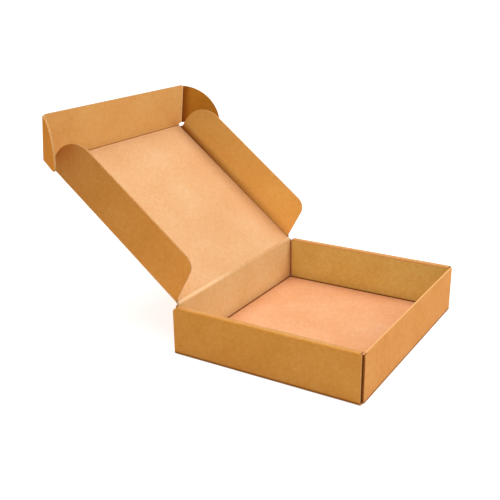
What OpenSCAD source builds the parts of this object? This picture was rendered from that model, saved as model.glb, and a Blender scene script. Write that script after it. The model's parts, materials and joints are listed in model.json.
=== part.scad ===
// Corrugated mailer box: one die-cut sheet of kraft board, folded into a tray with a hinged lid.
// The side walls are rolled double. Their inner panels trap the ears of the front and back walls
// and lock into slots in the floor, so nothing is glued.
// The lid closes over the tray. Its side flaps go down inside the rolled walls, its front flap
// covers the front wall, and the two quarter-round lock ears slide into the front corners.
//
// +X runs along the hinge to the right, +Y to the back, +Z up.
// The origin is under the middle of the tray, on the surface that the box stands on.

/* [Tray] */
// Outside length of the tray, along the hinge
tray_l = 300; // [240:1:400]
// Outside depth of the tray, from front to back
tray_w = 248; // [200:1:340]
// Outside height of the tray
tray_h = 62; // [50:1:100]

/* [Board] */
// Thickness of the corrugated board
board = 2; // [1.2:0.1:2.4]
// Clearance between layers of board that slide past each other
slide_gap = 0.3; // [0.2:0.05:0.6]
// Clearance between the edges of two panels at the crease where they turn
fold_gap = 0.3; // [0.2:0.05:0.6]

/* [Rolled side walls] */
// Distance from the front and back walls to the ends of the rolled strip
roll_set_back = 3; // [2:0.5:8]
// Distance that the outer panel's front edge stands behind the front wall's face
slot_set_back = 3; // [2.5:0.5:6]
// Length of the ears of the front and back walls, which lie inside the rolled walls
wall_ear_len = 78; // [40:1:95]
// Number of locking tabs on each inner panel
tab_count = 2; // [1:1:3]
// Width of one locking tab
tab_w = 34; // [16:1:50]
// Height of the cut corners of the ears in the rolled walls
wall_ear_cut = 10; // [2:1:20]
// Radius of the outer panels' top corners at the back
wall_corner_r = 5; // [1:0.5:12]

/* [Lid] */
// Angle that the lid stands open, counted from closed
lid_open = 142; // [95:1:185]
// Clearance of the side flaps' free edges over the floor when the lid is closed
side_flap_clear = 1.8; // [0.5:0.1:15]
// Angle that the side flaps lean out from square
side_flap_lean = 0; // [-10:1:10]
// Radius of the side flaps' front corners
side_flap_front_r = 39; // [10:1:44]
// Radius of the side flaps' back corners
side_flap_back_r = 17; // [4:1:24]
// Slant of the side flaps' back ends
side_flap_slant = 9; // [4:1:20]
// Distance from the hinge to the back end of a side flap at its fold
side_flap_back_gap = 4; // [3:0.5:12]
// Distance from the front fold to the front end of a side flap
side_flap_front_gap = 6; // [5:0.5:14]

/* [Front flap] */
// Clearance of the front flap's free edge over the ground when the lid is closed
front_flap_clear = 1.8; // [1.4:0.1:15]
// Angle that the front flap leans out from square
front_flap_lean = 32; // [28:1:60]
// Distance from the front flap's free edge up to the lock ears
lock_ear_set_back = 1.5; // [1.2:0.1:10]
// Radius of the lock ears' inner corners
lock_ear_corner_r = 9; // [3:0.5:12]
// Angle that the lock ears spread out from square
lock_ear_lean = 32; // [30:1:60]
// Clearance under the rolled strip when the lock ears are in
lock_ear_gap = 0.5; // [0.3:0.1:1.5]

/* [Hidden] */
$fn = 64;

outside_kraft = "#c98f4e";
inside_kraft = "#dba768";

// An edge that turns in a crease is a half round of one board thickness.
crease_r = board / 2;
// Distance from a crease's axis to the square edge of the panel it hangs on.
crease_seat = crease_r + fold_gap;

// The layers of a rolled side wall, from the outside inwards.
floor_half = tray_l / 2 - board;                             // inner face of the outer panel
lock_x = floor_half - slide_gap - crease_r;                  // middle of the lid's lock ear
wall_half = lock_x - crease_r - slide_gap;                   // outer face of a wall's ear
inner_panel_x = wall_half - board - slide_gap;               // outer face of the inner panel
inside_half = inner_panel_x - board;                         // inner face of the inner panel

wall_in = tray_w / 2 - board;                                // inner face of the front and back walls
roll_half = wall_in - roll_set_back;                         // half the length of the rolled strip
roll_h = tray_h - board;                                     // underside of the rolled strip
layer_gap = slide_gap;                                       // an inner edge over the floor
tab_pitch = 2 * roll_half / tab_count;                       // from one locking tab to the next
corner_lap = 0.05;                                           // an ear's corner round past its arc
tab_end = slide_gap;                                         // a tab's end over the ground
wall_end_h = tray_h - crease_r;                              // the outer panel beside the strip's ends

// The hinge is at the top of the back wall, and the closed lid lies just over the rolled walls.
hinge_y = tray_w / 2 - crease_r;
hinge_z = tray_h + crease_seat;
front_fold_d = hinge_y + tray_w / 2 + slide_gap + crease_r;  // hinge to front fold, along the lid
side_fold_x = inside_half - slide_gap - crease_r;            // side folds, square inside the walls
lid_half = side_fold_x - crease_seat;                        // half the width of the lid panel
side_flap_d = hinge_z - board - side_flap_clear;             // side fold to the free edge
front_flap_d = hinge_z - front_flap_clear;                   // front fold to the free edge
lock_ear_r = front_flap_d - lock_ear_set_back;               // about the end of the front fold
lock_ear_cut = hinge_z - roll_h + lock_ear_gap;              // front fold to a lock ear's near edge

// Outline of a right-angled fold about the origin, one board thickness of round on its outside.
// It laps one thickness into each of the panels that it joins, one along -X and the other along -Y.
module fold_outline() {
    intersection() {
        circle(r = board);
        square(board);
    }
    translate([-board, 0]) square(board);
    translate([0, -board]) square(board);
}

// Extrudes an outline drawn in X and Z along Y, from y0 to y1.
module along_y(y0, y1)
    translate([0, y1, 0]) rotate([90, 0, 0]) linear_extrude(y1 - y0) children();

// Extrudes an outline drawn in Y and Z along X, from x0 to x1.
module along_x(x0, x1)
    translate([x0, 0, 0]) rotate([90, 0, 90]) linear_extrude(x1 - x0) children();

// Repeats its children on both sides of the plane across the given axis.
module both(axis) {
    children();
    mirror(axis) children();
}

// Places the locking tabs, or their slots, along an inner panel.
module at_tabs()
    for (i = [0 : tab_count - 1])
        translate([0, (i - (tab_count - 1) / 2) * tab_pitch, 0]) children();

// Floor of the tray, with the slots for the inner panels' tabs.
module tray_floor()
    difference() {
        translate([-floor_half, -wall_in, 0]) cube([2 * floor_half, 2 * wall_in, board]);
        both([1, 0, 0]) at_tabs()
            translate([inside_half - slide_gap, -tab_w / 2 - slide_gap, -board])
                cube([board + 2 * slide_gap, tab_w + 2 * slide_gap, 3 * board]);
    }

// Outline of the fold from the floor up and the single-thick outer panel.
module outer_panel_section() {
    translate([floor_half, board]) rotate(-90) fold_outline();
    translate([floor_half, board]) square([board, roll_h - board]);
}

// Outline of the rolled top strip with its two folds, and the inner panel down to the floor.
module roll_section() {
    translate([floor_half, roll_h]) fold_outline();
    translate([inner_panel_x, roll_h]) square([floor_half - inner_panel_x, board]);
    translate([inner_panel_x, roll_h]) rotate(90) fold_outline();
    translate([inside_half, board + layer_gap]) square([board, roll_h - board - layer_gap]);
}

// Outer panel beside an end of the rolled strip, cut free at the fold.
module outer_panel_end(y0, y1)
    translate([floor_half, y0, roll_h - board]) cube([board, y1 - y0, wall_end_h - roll_h + board]);

// What is cut away to round a corner, about the middle of the round.
module corner_cut(r)
    difference() {
        square(2 * r);
        circle(r = r);
    }

// Locking tab of an inner panel, through its slot in the floor.
module lock_tab()
    along_x(inside_half, inside_half + board)
        polygon([[-tab_w / 2, board + 2 * layer_gap], [-tab_w / 2, board / 2],
                 [-tab_w / 2 + board / 2, tab_end], [tab_w / 2 - board / 2, tab_end],
                 [tab_w / 2, board / 2], [tab_w / 2, board + 2 * layer_gap]]);

// Right side wall, rolled over and locked into the floor.
module side_wall() {
    front_edge = slot_set_back - tray_w / 2;
    back_edge = tray_w / 2;
    difference() {
        union() {
            along_y(front_edge, back_edge) outer_panel_section();
            outer_panel_end(front_edge, -roll_half);
            outer_panel_end(roll_half, back_edge);
        }
        along_x(floor_half - board, floor_half + 2 * board)
            translate([back_edge - wall_corner_r, wall_end_h - wall_corner_r]) corner_cut(wall_corner_r);
    }
    along_y(-roll_half, roll_half) roll_section();
    at_tabs() lock_tab();
}

// Outline of the fold from the floor up and the single-thick back wall.
module end_wall_section() {
    translate([wall_in, board]) rotate(-90) fold_outline();
    translate([wall_in, board]) square([board, tray_h - board]);
}

// Ear at the right end of the back wall, folded round into the side wall.
module wall_ear() {
    low = board + layer_gap;
    high = roll_h - layer_gap;
    tip = tray_w / 2 - wall_ear_len;
    translate([wall_half - board, wall_in, low]) linear_extrude(high - low) fold_outline();
    along_x(wall_half - board, wall_half)
        polygon([[wall_in, low], [wall_in, high], [tip + wall_ear_cut, high],
                 [tip, high - wall_ear_cut], [tip, low + wall_ear_cut], [tip + wall_ear_cut, low]]);
}

// Back wall with its two ears.
module end_wall() {
    along_x(board - wall_half, wall_half - board) end_wall_section();
    both([1, 0, 0]) wall_ear();
}

// The whole tray, which is one folded sheet.
module tray()
    color(outside_kraft) {
        tray_floor();
        both([1, 0, 0]) side_wall();
        both([0, 1, 0]) end_wall();
    }

// Carries what is drawn as on the closed lid, with its hinge on the X axis, to where the lid stands.
// On the closed lid the panel runs along -Y, and its inside faces down.
module on_lid()
    translate([0, hinge_y, hinge_z]) rotate([-lid_open, 0, 0]) children();

// Carries what is drawn with the front fold on the X axis, hanging down, to the front flap.
module on_front_flap()
    on_lid() translate([0, -front_fold_d, 0]) rotate([-front_flap_lean, 0, 0]) children();

// Lid panel: half round at the hinge and at the folds of its three flaps, where the board is
// crushed, so that a side flap can lean in over it.
module lid_panel()
    color(inside_kraft) on_lid() {
        front = front_fold_d - crease_seat - crease_r;
        side = lid_half - crease_r;
        rotate([0, 90, 0]) cylinder(r = crease_r, h = 2 * lid_half, center = true);
        translate([-side, -front, -crease_r]) cube([2 * side, front, board]);
        translate([0, -front, 0]) rotate([0, 90, 0])
            cylinder(r = crease_r, h = 2 * side, center = true);
        both([1, 0, 0]) translate([side, 0, 0]) rotate([90, 0, 0])
            cylinder(r = crease_r, h = front);
    }

// Outline of a side flap: x runs from the hinge towards the front, y from the fold down.
module side_flap_outline() {
    front = front_fold_d - side_flap_front_gap;
    front_c = [front - side_flap_front_r, side_flap_d - side_flap_front_r];
    slant = [cos(side_flap_slant), -sin(side_flap_slant)];
    back_c_y = side_flap_d - side_flap_back_r;
    back_c = [side_flap_back_gap + (side_flap_back_r - back_c_y * slant[1]) / slant[0], back_c_y];
    intersection() {
        union() {
            translate(front_c) circle(r = side_flap_front_r, $fn = 128);
            translate(back_c) circle(r = side_flap_back_r);
            polygon([[side_flap_back_gap, 0],
                     back_c - side_flap_back_r * slant,
                     back_c,
                     [back_c[0], side_flap_d],
                     [front_c[0], side_flap_d],
                     front_c,
                     [front, front_c[1]],
                     [front, 0]]);
        }
        square([front, side_flap_d]);
    }
}

// Right side flap of the lid, half round at its fold.
module side_flap()
    color(inside_kraft) on_lid()
        translate([side_fold_x, 0, 0]) rotate([0, -side_flap_lean, 0]) {
            rotate([-90, 0, -90]) translate([0, 0, -crease_r])
                linear_extrude(board) side_flap_outline();
            translate([0, -side_flap_back_gap, 0]) rotate([90, 0, 0])
                cylinder(r = crease_r, h = front_fold_d - side_flap_back_gap - side_flap_front_gap);
        }

// Outline of the front flap: x along the fold, y from the fold down. Its two ends are square
// for the lock ears, and cut in to the lid's width at the fold.
module front_flap_outline() {
    end = lock_x - crease_seat;
    both([1, 0])
        polygon([[0, 0], [lid_half, 0], [lid_half, crease_r], [end, lock_ear_cut],
                 [end, lock_ear_r], [end - lock_ear_set_back, front_flap_d],
                 [0, front_flap_d]]);
}

// Front flap of the lid, half round at its fold.
module front_flap()
    color(outside_kraft) on_front_flap() {
        rotate([-90, 0, 0]) translate([0, 0, -crease_r]) linear_extrude(board) front_flap_outline();
        rotate([0, 90, 0]) cylinder(r = crease_r, h = 2 * lid_half, center = true);
    }

// Outline of a lock ear: a quarter round about the end of the front fold, so that it swings into
// the front corner of the tray as the flap closes. x runs away from the ear's fold, y down.
module lock_ear_outline() {
    corner_y = lock_ear_cut + lock_ear_corner_r;
    corner_x = sqrt(pow(lock_ear_r - lock_ear_corner_r + corner_lap, 2) - pow(corner_y, 2));
    beyond = 2 * [corner_x, corner_y];
    intersection() {
        circle(r = lock_ear_r, $fn = 128);
        union() {
            polygon([[0, lock_ear_cut], [corner_x, lock_ear_cut], [corner_x, corner_y], beyond,
                     [beyond[0], 2 * lock_ear_r], [0, 2 * lock_ear_r]]);
            translate([corner_x, corner_y]) circle(r = lock_ear_corner_r);
        }
    }
}

// Right lock ear, half round at its fold at the end of the front flap. The round stops one board
// thickness short of the arc.
module lock_ear()
    color(outside_kraft) on_front_flap()
        translate([lock_x, 0, 0]) rotate([0, 0, -lock_ear_lean]) {
            rotate([-90, 0, 90]) translate([0, 0, -crease_r])
                linear_extrude(board) lock_ear_outline();
            translate([0, 0, board - lock_ear_r])
                cylinder(r = crease_r, h = lock_ear_r - lock_ear_cut - board);
        }

tray();
lid_panel();
mirror([1, 0, 0]) side_flap();  // side_flap_left
side_flap();  // side_flap_right
front_flap();
mirror([1, 0, 0]) lock_ear();  // lock_ear_left
lock_ear();  // lock_ear_right
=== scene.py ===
# %% [markdown]
# # A corrugated mailer box, standing open
#
# This box is one die-cut sheet of brown corrugated board. Nothing is glued: every wall is held by
# how the sheet is folded. The imported model's solids could simply be coloured, but they have no
# flutes at their cut edges and no crushed board at their folds. So we build each panel again in its
# solid's place, as two flat liners with a wavy paper between them. The creases of the lid and its
# flaps are separate pieces, bent as far as they stand at rest.

# %% Load the imported model
import json
import math
import bpy
import numpy as np
from mathutils import Matrix, Vector
from mathutils.geometry import tessellate_polygon


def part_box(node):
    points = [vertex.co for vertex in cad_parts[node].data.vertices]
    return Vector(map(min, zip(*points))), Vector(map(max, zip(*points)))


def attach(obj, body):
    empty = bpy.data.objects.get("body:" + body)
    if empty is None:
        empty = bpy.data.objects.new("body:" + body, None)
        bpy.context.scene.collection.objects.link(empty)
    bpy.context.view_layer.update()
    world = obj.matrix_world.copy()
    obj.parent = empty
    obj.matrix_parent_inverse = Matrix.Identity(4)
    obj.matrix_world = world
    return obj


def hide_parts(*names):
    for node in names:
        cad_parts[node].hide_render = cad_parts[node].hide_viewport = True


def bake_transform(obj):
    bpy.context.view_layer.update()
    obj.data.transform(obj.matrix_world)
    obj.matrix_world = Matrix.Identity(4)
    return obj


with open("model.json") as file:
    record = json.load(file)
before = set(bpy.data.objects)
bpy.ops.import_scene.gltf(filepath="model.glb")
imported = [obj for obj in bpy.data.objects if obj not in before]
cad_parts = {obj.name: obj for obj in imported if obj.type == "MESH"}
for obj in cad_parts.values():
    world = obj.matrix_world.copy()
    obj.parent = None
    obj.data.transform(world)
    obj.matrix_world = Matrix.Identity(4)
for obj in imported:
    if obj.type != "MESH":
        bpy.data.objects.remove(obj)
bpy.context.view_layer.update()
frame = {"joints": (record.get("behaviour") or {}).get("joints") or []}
joints = {joint["name"]: joint for joint in frame["joints"]}
scene = bpy.context.scene

# %% [markdown]
# ## The sizes
#
# Lengths are in millimetres while we draw, and one factor turns them to metres when a mesh is made.
# All could be typed in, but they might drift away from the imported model. So the tray's size and the
# places of the folds are read from it, and only the board's thickness, the clearances and the
# outlines are typed in, as they were drawn.

# %% Sizes of the board and the tray
MM = 0.001
BOARD = 2.0
SLIDE_GAP = 0.3
ROLL_SET_BACK = 3.0

tray_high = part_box("tray")[1] / MM
HALF_L = tray_high.x
HALF_W = tray_high.y
TRAY_H = tray_high.z
# From a side wall inwards: outer panel, room for a lock ear, trapped wall ear, inner panel
FLOOR_HALF = HALF_L - BOARD
LOCK_X = FLOOR_HALF - SLIDE_GAP - BOARD / 2
WALL_HALF = LOCK_X - BOARD / 2 - SLIDE_GAP
ROLL_IN = WALL_HALF - BOARD - SLIDE_GAP
INSIDE_HALF = ROLL_IN - BOARD
# From the front or back wall inwards, and heights
WALL_IN = HALF_W - BOARD
ROLL_HALF = WALL_IN - ROLL_SET_BACK
ROLL_H = TRAY_H - BOARD
LOW = BOARD + SLIDE_GAP
print("tray %.0f x %.0f x %.0f mm" % (2 * HALF_L, 2 * HALF_W, TRAY_H))
print("inside %.1f mm wide" % (2 * INSIDE_HALF))

# %% Places and directions of the lid, its flaps and its ears
FOLD_GAP = 0.3
X = Vector((1, 0, 0))
Y = Vector((0, 1, 0))
Z = Vector((0, 0, 1))
hinge = Vector(joints["lid_hinge"]["pos_m"]) / MM
front_fold = Vector(joints["front_flap_fold"]["pos_m"]) / MM
SIDE_FOLD_X = joints["side_flap_right_fold"]["pos_m"][0] / MM
LID_HALF = SIDE_FOLD_X - (BOARD / 2 + FOLD_GAP)
LID_D = (front_fold - hinge).length
lid_dir = (front_fold - hinge).normalized()
lid_in = X.cross(lid_dir)
flap_dir = Vector(joints["lock_ear_right_fold"]["axis"])
flap_in = X.cross(flap_dir)
EAR_LEAN = -math.radians(joints["lock_ear_right_fold"]["range_deg"][0])
lid_slope = math.degrees(math.atan2(lid_dir.z, lid_dir.y))
print("lid %.1f mm deep, %.0f degrees over the horizontal" % (LID_D, lid_slope))

# %% [markdown]
# ## What the board is made of
#
# E-flute board has a wave every 3.3 mm or so. Its liners are heavy kraft paper, drawn 0.3 mm thick,
# a little more than real ones, so that they show at the cut edges. The wavy paper between them is
# the medium. A striped pattern on the edges would be less work, but real waves are right at every
# slanted or round cut. They run along the X axis all over the flat blank, so every panel says which
# of its directions crosses them: u crosses the waves, and v runs along them.

# %% Flutes
FLUTE_PITCH = 3.3
LINER = 0.3
MEDIUM = 0.22
swing = BOARD / 2 - LINER - MEDIUM / 2


def wave(u):
    """Height of the medium at u."""
    return swing * np.cos(2 * np.pi * u / FLUTE_PITCH)


print("%d waves under the floor's liner, %.2f mm high" % (2 * WALL_IN / FLUTE_PITCH, 2 * swing))

# %% [markdown]
# ## A collector for mesh data
#
# A panel has many small surfaces. Each could be an object of its own, but one mesh for each piece
# is easier to move and to check. So we collect points and faces in lists, with what the materials
# read at each point:
#
# - `grain` is where the point lies on the flat board, so that the paper's pattern follows the folds.
# - `worn` is above 0 where a crease has stretched the paper pale, in places also a
#   painted highlight, and below 0 where it is darker: crushed board and a painted shade.
# - `tint` is a colour factor, which differs a little from panel to panel and also paints light and
#   shade on them.
# - `shade` says how far a panel is darkened beside its folds by a painted shade, where little light
#   comes in.
# - `rim_low` and `rim_high` are the distances to those folds, at the panel's low and high ends in u
#   and v. They change evenly over a flat panel, so the values at its corners are enough.

# %% The collector
LINER_OUT, LINER_IN, FLUTING, CUT_EDGE, PALE_EDGE = range(5)
PLAIN = (1.0, 1.0, 1.0)
# A rim this far away has no effect.
FAR = 500.0
# The paper's pattern is cut at another depth for each piece, and for each of its two liners.
PIECE_STEP = 40
LINER_STEP = 8


def look_at(look, g):
    """A tint or shade at a point of the flat board."""
    return look(g) if callable(look) else look


class Sheet:
    """Points, faces and what the materials read, for one piece."""

    def __init__(self, seed):
        self.points, self.faces, self.finish, self.smooth = [], [], [], []
        self.grain, self.worn, self.tint, self.shade = [], [], [], []
        self.rim_low, self.rim_high = [], []
        self.seed = seed

    def add(self, points, faces, finish, grain, worn=0.0, smooth=False, tint=PLAIN, shade=0.0,
            rim=(-FAR, -FAR, FAR, FAR)):
        """Adds a surface. finish and smooth are one value for all of its faces, or one for each.
        worn and tint are one value for all of its points, or one for each. tint and shade
        can also be a function of the point's place on the flat board. rim is the box in u and v whose
        sides are folds, (u0, v0, u1, v1)."""
        first = len(self.points)
        u0, v0, u1, v1 = rim
        self.points += [tuple(p) for p in points]
        self.faces += [tuple(first + i for i in face) for face in faces]
        self.finish += finish if isinstance(finish, list) else [finish] * len(faces)
        self.smooth += smooth if isinstance(smooth, list) else [smooth] * len(faces)
        self.grain += [(g[0], g[1], g[2] + PIECE_STEP * self.seed) for g in grain]
        self.worn += worn if isinstance(worn, list) else [worn] * len(points)
        self.tint += tint if isinstance(tint, list) else [look_at(tint, g) for g in grain]
        self.shade += [look_at(shade, g) for g in grain]
        self.rim_low += [(g[0] - u0, g[1] - v0, 0) for g in grain]
        self.rim_high += [(u1 - g[0], v1 - g[1], 0) for g in grain]

    def make(self, name):
        """Makes the mesh object in metres, with all faces turned outwards."""
        mesh = bpy.data.meshes.new(name)
        mesh.from_pydata([[c * MM for c in p] for p in self.points], [], self.faces)
        for finish in board_finishes:
            mesh.materials.append(finish)
        mesh.polygons.foreach_set("material_index", self.finish)
        mesh.polygons.foreach_set("use_smooth", self.smooth)
        for key, values, unit in (("grain", self.grain, MM), ("tint", self.tint, 1),
                                  ("rim_low", self.rim_low, MM), ("rim_high", self.rim_high, MM)):
            layer = mesh.attributes.new(key, "FLOAT_VECTOR", "POINT")
            layer.data.foreach_set("vector", np.array(values, np.float32).ravel() * unit)
        for key, values in (("worn", self.worn), ("shade", self.shade)):
            layer = mesh.attributes.new(key, "FLOAT", "POINT")
            layer.data.foreach_set("value", np.array(values, np.float32))
        mesh.validate()
        piece = bpy.data.objects.new(name, mesh)
        scene.collection.objects.link(piece)
        bpy.context.view_layer.objects.active = piece
        piece.select_set(True)
        bpy.ops.object.mode_set(mode="EDIT")
        bpy.ops.mesh.select_all(action="SELECT")
        bpy.ops.mesh.normals_make_consistent(inside=False)
        bpy.ops.object.mode_set(mode="OBJECT")
        piece.select_set(False)
        print("%-20s %6d faces" % (name, len(mesh.polygons)))
        return piece


# %% [markdown]
# ## One panel of board
#
# A flat panel is an outline in u and v, placed by an origin and two directions. The third direction
# points out of the inside liner. A Solidify modifier could thicken the outline, but here each new
# point also needs what the materials read. So each liner is drawn as the outline filled with
# triangles on both faces, with a band round its cut. The medium is a ruled sheet: at each step in u
# we find where the outline starts and ends, and draw one line across, at the height of the wave.

# %% Placing a panel
class Place:
    """Where a flat panel lies: u crosses the flutes, v runs along them, w is towards the inside."""

    def __init__(self, origin, u, v, w):
        self.origin, self.u, self.v, self.w = (Vector(d) for d in (origin, u, v, w))

    def at(self, u, v, w):
        """The point that lies u, v and w from the origin."""
        return self.origin + float(u) * self.u + float(v) * self.v + float(w) * self.w


# %% The two liners
def add_liners(sheet, place, loops, looks):
    """Both liners of a panel. The first loop is the outline, the others are holes. looks holds
    what Sheet.add takes for the inside and the outside liner."""
    flat = [point for loop in loops for point in loop]
    fill = tessellate_polygon([[Vector((u, v, 0)) for u, v in loop] for loop in loops])
    n = len(flat)
    for side, finish, look in ((1, LINER_IN, looks[0]), (-1, LINER_OUT, looks[1])):
        levels = (side * BOARD / 2, side * (BOARD / 2 - LINER))
        points = [place.at(u, v, w) for w in levels for u, v in flat]
        grain = [(u, v, LINER_STEP * side) for w in levels for u, v in flat]
        faces = [tuple(t) for t in fill] + [tuple(n + i for i in reversed(t)) for t in fill]
        kinds = [finish] * len(fill) + [PALE_EDGE] * len(fill)
        first = 0
        for loop in loops:
            for i in range(len(loop)):
                a, b = first + i, first + (i + 1) % len(loop)
                faces.append((a, b, n + b, n + a))
                kinds.append(PALE_EDGE)
            first += len(loop)
        sheet.add(points, faces, kinds, grain, **look)


# %% The medium between them
FLUTE_STEPS = 8
MEDIUM_INSET = 0.1
# A line through a corner of the outline would miss it, so the outline is read a hair beside it.
HAIR = 1e-4


def crossings(loop, u):
    """Lowest and highest v at which a loop crosses the line at u."""
    found = []
    for (u0, v0), (u1, v1) in zip(loop, loop[1:] + loop[:1]):
        if (u0 - u) * (u1 - u) < 0:
            found.append(v0 + (v1 - v0) * (u - u0) / (u1 - u0))
    return min(found), max(found)


def add_medium(sheet, place, loop):
    """The wavy paper inside an outline, a little short of its cut edges."""
    us = [u for u, v in loop]
    stations = np.arange(min(us) + MEDIUM_INSET, max(us) - MEDIUM_INSET, FLUTE_PITCH / FLUTE_STEPS)
    points, grain = [], []
    for u in stations:
        low, high = crossings(loop, u + HAIR)
        slope = swing * 2 * np.pi / FLUTE_PITCH * math.sin(2 * np.pi * u / FLUTE_PITCH)
        half = MEDIUM / 2 * math.hypot(1, slope)
        for v in (low + MEDIUM_INSET, high - MEDIUM_INSET):
            for w in (wave(u) - half, wave(u) + half):
                points.append(place.at(u, v, w))
                grain.append((u, v, w))
    faces = [(0, 1, 3, 2)]
    for i in range(0, len(points) - 4, 4):
        faces += [(i, i + 2, i + 6, i + 4), (i + 1, i + 5, i + 7, i + 3)]
        faces += [(i, i + 4, i + 5, i + 1), (i + 2, i + 3, i + 7, i + 6)]
    last = len(points) - 4
    faces.append((last, last + 2, last + 3, last + 1))
    sheet.add(points, faces, FLUTING, grain)


# %% [markdown]
# ## The pressed rim
#
# The blank is stamped out by a steel rule, with rubber beside it that presses the board together.
# So the flutes are nearly shut along the cut, and one sees a pale edge with little of the waves.
# Both liners could be pinched there, but that takes rows of points along every outline. A narrow
# wall from liner to liner, a little inside the edge, closes the flutes with a few faces.

# %% The pressed rim, and a whole panel
PRESSED = 0.35
# Limits how far a sharp corner moves when the outline is moved inwards
SHARPEST = 0.3


def inset(loop, depth):
    """An outline that runs anticlockwise, moved inwards by depth."""
    moved = []
    for (a, b), (c, d), (e, f) in zip(loop[-1:] + loop[:-1], loop, loop[1:] + loop[:1]):
        before = Vector((b - d, c - a)).normalized()
        after = Vector((d - f, e - c)).normalized()
        step = (before + after) * depth / max(SHARPEST, 1 + before.dot(after))
        moved.append((c + step.x, d + step.y))
    return moved


def add_pressed_rim(sheet, place, loop):
    """The narrow wall, one thickness of the medium deep, all round an outline."""
    area = sum(a * d - c * b for (a, b), (c, d) in zip(loop, loop[1:] + loop[:1]))
    loop = loop if area > 0 else loop[::-1]
    n = len(loop)
    half = BOARD / 2 - LINER
    corners = [(u, v, w) for depth in (PRESSED, PRESSED + MEDIUM) for w in (-half, half)
               for u, v in inset(loop, depth)]
    faces = []
    for i in range(n):
        j = (i + 1) % n
        faces += [(i, j, n + j, n + i), (2 * n + i, 3 * n + i, 3 * n + j, 2 * n + j),
                  (i, 2 * n + i, 2 * n + j, j), (n + i, n + j, 3 * n + j, 3 * n + i)]
    sheet.add([place.at(*corner) for corner in corners], faces, PALE_EDGE, corners)


def add_board(sheet, place, outline, holes=(), medium=None, inside={}, outside={}):
    """A flat panel of corrugated board. medium is the medium's own outline, where it differs.
    inside and outside are the looks of the two liners: their tint, shade and rim."""
    add_liners(sheet, place, [outline, *holes], (inside, outside))
    add_medium(sheet, place, medium or outline)
    add_pressed_rim(sheet, place, outline)


# %% [markdown]
# ## A fold that stays put
#
# The tray's folds never move. On the outside of such a fold the liner runs round in a quarter
# circle of one board thickness. A Bevel modifier could round the corner, but here the two panels
# are separate surfaces, so we draw the quarter round between them. The crushed medium makes it
# slightly uneven, so its radius wanders by a few hundredths of a millimetre along the fold.

# %% Static folds
# Steps round the quarter circle, and the distance from row to row along the fold
FOLD_STEPS = 8
FOLD_ROWS = 5.0
# How much the radius wanders, and how far the middle of the round is sunk
FOLD_DENT = 0.03
FOLD_SUNK = 0.05
# A curve that wanders has one random value for so many rows.
ROWS_A_KNOT = 6
rng = np.random.default_rng(7)


def wander(count, amount):
    """A slow random curve, the same on each run."""
    knots = rng.normal(0, amount, count // ROWS_A_KNOT + 3)
    return np.interp(np.linspace(0, len(knots) - 1, count), np.arange(len(knots)), knots).tolist()


def add_fold(sheet, pivot, along, length, start, end, fold_light_and_wear, tint=PLAIN):
    """A quarter round of board. start and end are unit directions from the pivot line.
    fold_light_and_wear is what `worn` is away from the two sides, or a function of
    the way round from 0 to 1."""
    rows = max(2, int(length / FOLD_ROWS) + 1)
    dents = wander(rows, FOLD_DENT)
    points, grain, worn = [], [], []
    for dent, t in zip(dents, np.linspace(0, length, rows).tolist()):
        foot = pivot + t * along
        points.append(foot)
        grain.append((t, 0, 0))
        worn.append(0.0)
        for k in range(FOLD_STEPS + 1):
            angle = math.pi / 2 * k / FOLD_STEPS
            bow = math.sin(2 * angle)
            radius = BOARD + (dent - FOLD_SUNK) * bow
            points.append(foot + radius * (math.cos(angle) * start + math.sin(angle) * end))
            grain.append((t, BOARD * angle, -LINER_STEP))
            worn.append(look_at(fold_light_and_wear, k / FOLD_STEPS) * math.sqrt(max(0.0, bow)))
    ring = FOLD_STEPS + 2
    faces, kinds = [], []
    for i in range(rows - 1):
        for k in range(ring):
            a, b = i * ring + k, i * ring + (k + 1) % ring
            faces.append((a, b, b + ring, a + ring))
            kinds.append(LINER_OUT if 0 < k < ring - 1 else CUT_EDGE)
    faces += [tuple(range(ring)), tuple(range((rows - 1) * ring, rows * ring))]
    kinds += [CUT_EDGE, CUT_EDGE]
    smooth = [kind == LINER_OUT for kind in kinds]
    sheet.add(points, faces, kinds, grain, worn, smooth, tint)


# %% [markdown]
# ## A crease that turns
#
# The lid and its flaps turn on creases, where the board was crushed by a blunt rule. So the
# crushed strip is a piece of its own. Its section is drawn flat, pinched in the middle, and then
# bent about the axis as far as it stands at rest.

# %% Section of a crease
# From the axis to where the flat panel starts, and to where the bend ends
CREASE_REACH = 2.6
CREASE_HALF = 1.0
SECTION_POINTS = 23
# How deep the rule pressed the inside, and how far that shows on the outside
PINCH_IN = 0.6
PINCH_OUT = 0.14
PINCH_OUT_WIDTH = 0.8


def crease_section():
    """Points (s, t) round the crushed strip: s across the crease, t towards the inside liner."""
    s = np.linspace(-CREASE_REACH, CREASE_REACH, SECTION_POINTS)
    inside = BOARD / 2 - PINCH_IN * np.exp(-s ** 2)
    outside = -BOARD / 2 + PINCH_OUT * np.exp(-(s / PINCH_OUT_WIDTH) ** 2)
    return np.array([*zip(s, inside), *zip(s[::-1], outside[::-1])]).tolist()


print("a crease is pinched to %.2f mm" % (BOARD - PINCH_IN - PINCH_OUT))

# %% The crease
CREASE_ROWS = 4.0
CREASE_DENT = 0.05
# The outside is dented less. Its depth is counted the other way, so this is below 0.
OUTSIDE_DENT = -0.4


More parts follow.
